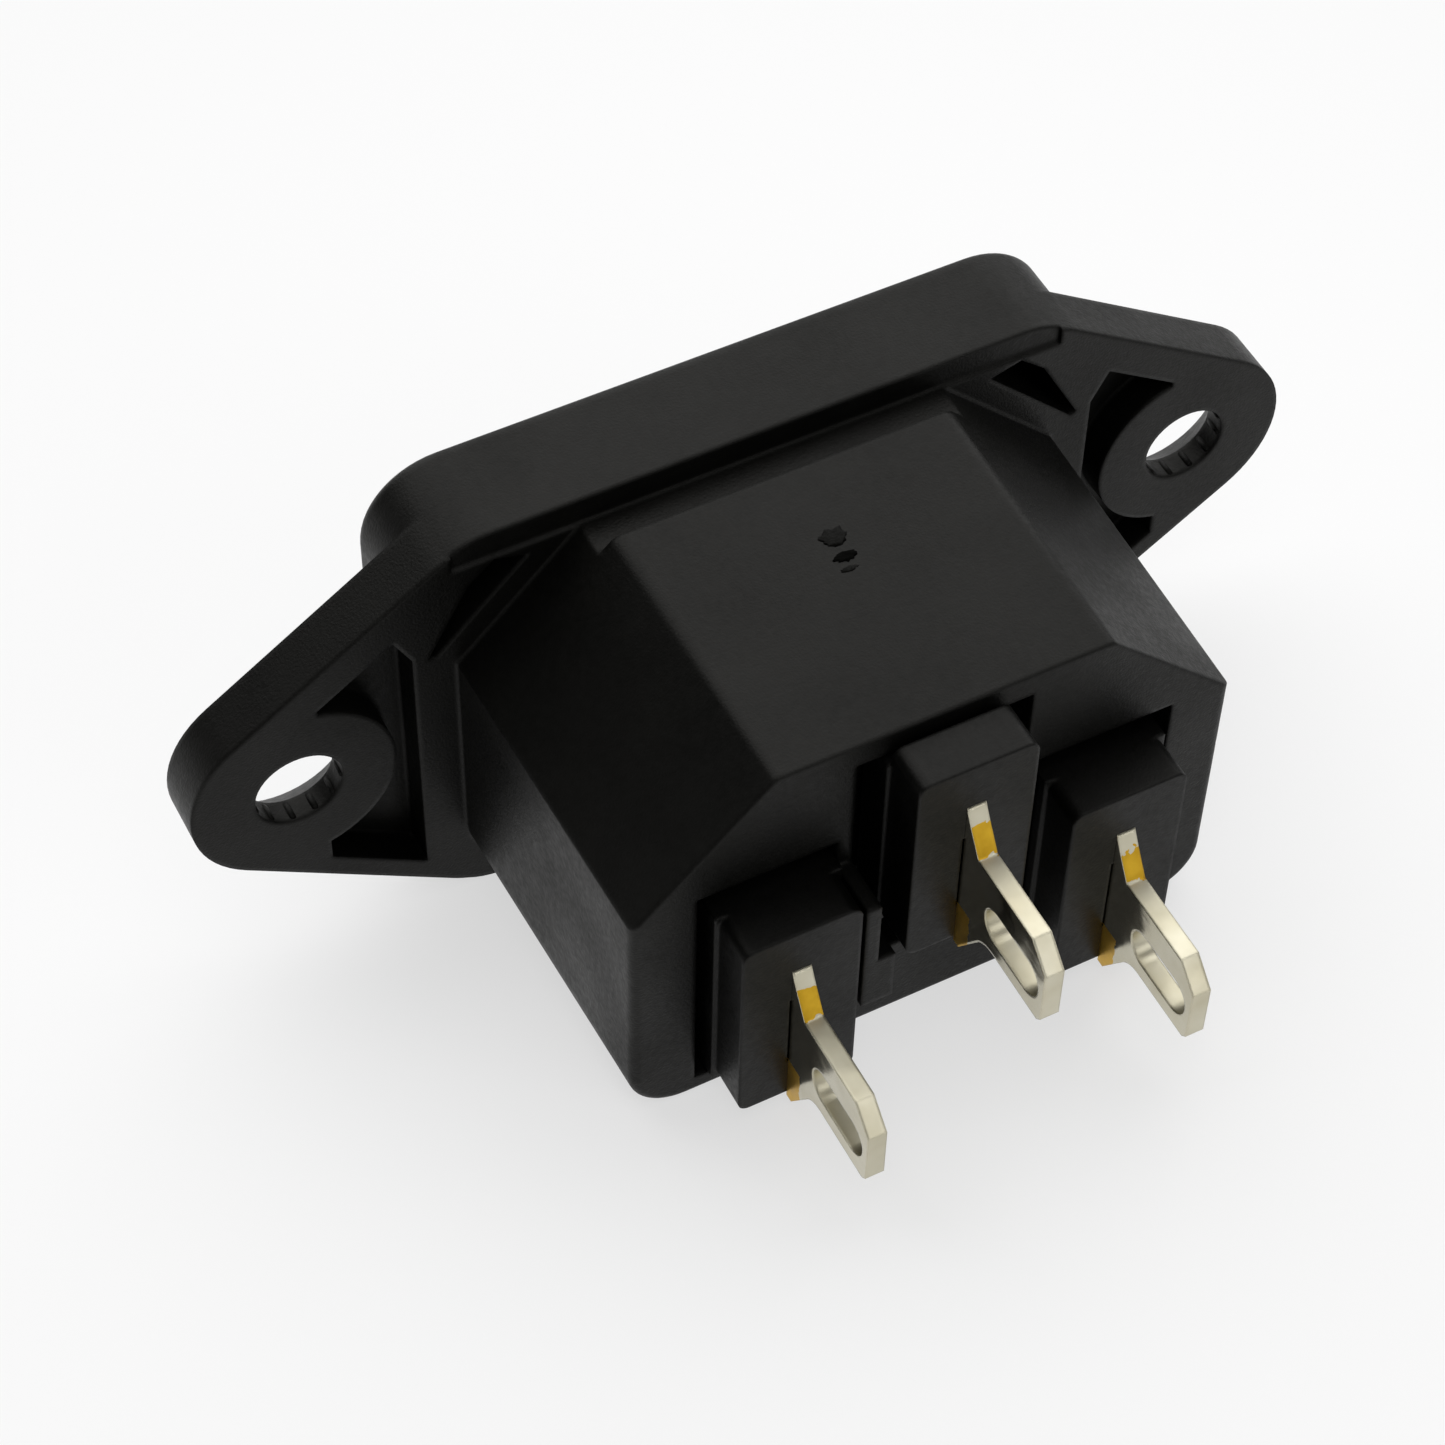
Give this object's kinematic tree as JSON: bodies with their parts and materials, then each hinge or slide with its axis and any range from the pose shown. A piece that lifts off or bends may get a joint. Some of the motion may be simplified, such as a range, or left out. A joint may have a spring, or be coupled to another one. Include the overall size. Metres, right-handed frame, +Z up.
{
  "type": "power inlet socket",
  "caption": "Panel power inlet with an eared screw flange, a deep bevelled recess around flat pins, and eyelet solder lugs standing from insulating blocks at the back.",
  "frame": {"origin": "midway between the two screw holes, in the back face of the flange, which lies on the panel", "axes": "+X along the flange from ear to ear, +Y backwards along the pins to the solder lugs, +Z up with the bevelled side of the body on top"},
  "size_m": [0.049, 0.0278, 0.0208],
  "materials": {
    "housing_plastic": "black, fine matt grain",
    "block_plastic": "black, smooth matt",
    "plated_contact": "brass plated with bright nickel, brass showing where it was cut"
  },
  "bodies": {
    "root": {"housing": "housing_plastic", "line_carrier": "block_plastic", "neutral_carrier": "block_plastic", "earth_carrier": "block_plastic", "line_contact": "plated_contact", "neutral_contact": "plated_contact", "earth_contact": "plated_contact"}
  },
  "joints": []
}
